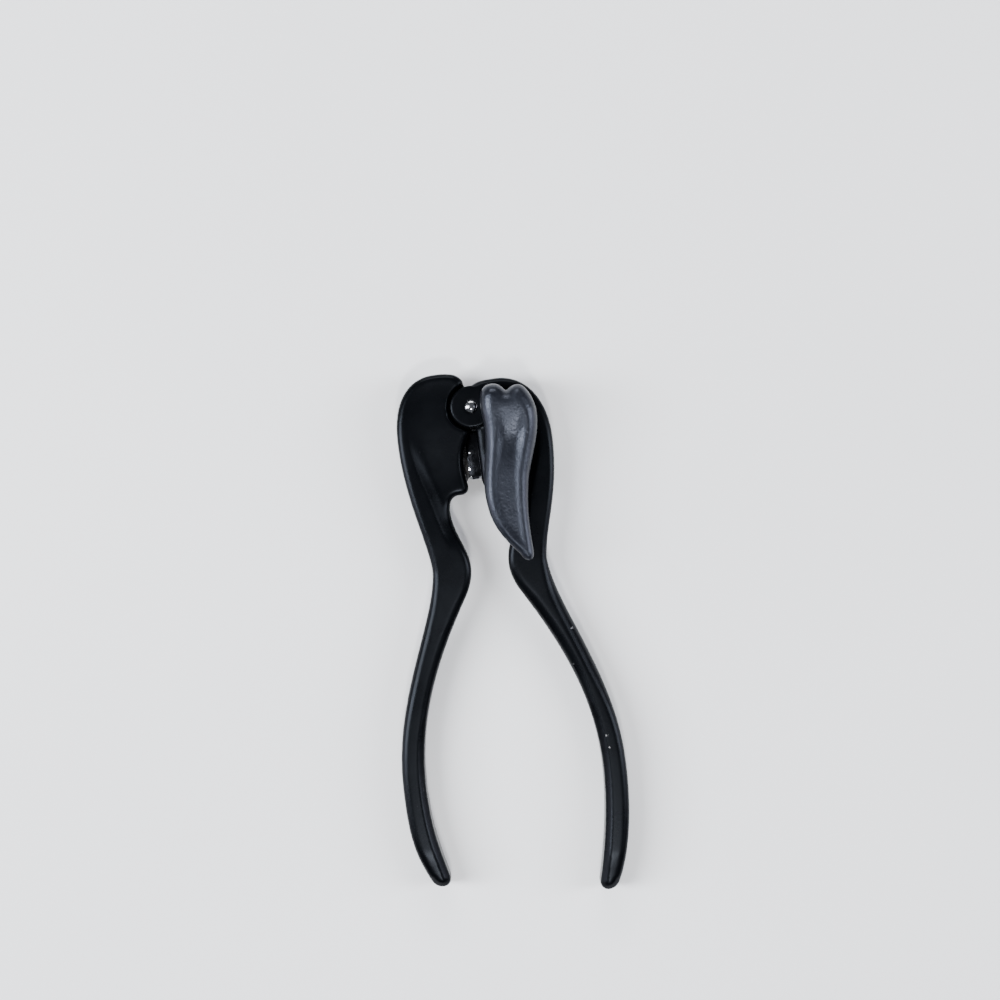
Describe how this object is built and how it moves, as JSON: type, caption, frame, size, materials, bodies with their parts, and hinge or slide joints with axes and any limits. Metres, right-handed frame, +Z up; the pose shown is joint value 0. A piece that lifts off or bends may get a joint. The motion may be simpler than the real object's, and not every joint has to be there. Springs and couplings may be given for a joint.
{
  "type": "manual can opener",
  "caption": "Pliers-style manual can opener with black cast handles pivoted at the heads, a toothed feed wheel turned by a heart-topped key and a free-spinning cutting wheel.",
  "frame": {"origin": "middle of the foot of the opener's box, on the plane that it rests on with the turning key on top; the pivot axis stands 68.6125 mm from it along +Y", "axes": "+Y from the grips to the heads along the line midway between the handles, +Z up out of the resting plane through the turning key, +X to the side of the handle that carries the key"},
  "size_m": [0.0672, 0.1588, 0.0236],
  "materials": {
    "black_paint": "satin black paint on a die casting",
    "slate_paint": "fine-grained slate grey satin coat on a die casting",
    "bright_rivet": "bright plated",
    "wheel_steel": "turned and hardened steel",
    "dark_steel": "dark tempered steel",
    "bush_bronze": "sintered bronze",
    "black_nylon": "moulded nylon"
  },
  "bodies": {
    "right_side": {"right_handle": "black_paint", "right_wheel_plate": "dark_steel", "right_plate_rivet_1": "wheel_steel", "right_plate_rivet_2": "wheel_steel", "shaft_bush": "bush_bronze", "pivot_rivet": "bright_rivet", "pivot_friction_washer": "dark_steel", "pivot_rear_washer": "dark_steel"},
    "left_side": {"left_handle": "black_paint", "left_wheel_plate": "dark_steel", "left_plate_rivet_1": "wheel_steel", "left_plate_rivet_2": "wheel_steel", "cutter_stud": "wheel_steel", "cutter_spring_washer": "dark_steel", "cutter_screw": "wheel_steel"},
    "key_and_feed_wheel": {"turning_key": "slate_paint", "key_washer": "black_nylon", "key_shaft": "wheel_steel", "feed_wheel": "wheel_steel", "feed_spacer": "dark_steel", "feed_lock_washer": "dark_steel", "feed_screw": "wheel_steel"},
    "cutter": {"cutting_wheel": "wheel_steel"},
    "roller": {"rim_roller": "wheel_steel"}
  },
  "joints": [
    {"name": "handle_pivot", "type": "hinge", "parent": "right_side", "child": "left_side", "pos_m": [0, 0.06861, 0.011], "axis": [0, 0, 1], "range_deg": [-24, 9]},
    {"name": "key_turn", "type": "hinge", "parent": "right_side", "child": "key_and_feed_wheel", "pos_m": [0.008, 0.0516, 0.011], "axis": [0, 0, 1], "continuous": true},
    {"name": "cutter_spin", "type": "hinge", "parent": "left_side", "child": "cutter", "pos_m": [-0.01044, 0.05298, 0.0021], "axis": [0, 0, 1], "continuous": true},
    {"name": "roller_spin", "type": "hinge", "parent": "left_side", "child": "roller", "pos_m": [-0.01044, 0.05298, 0.0045], "axis": [0, 0, 1], "continuous": true}
  ]
}
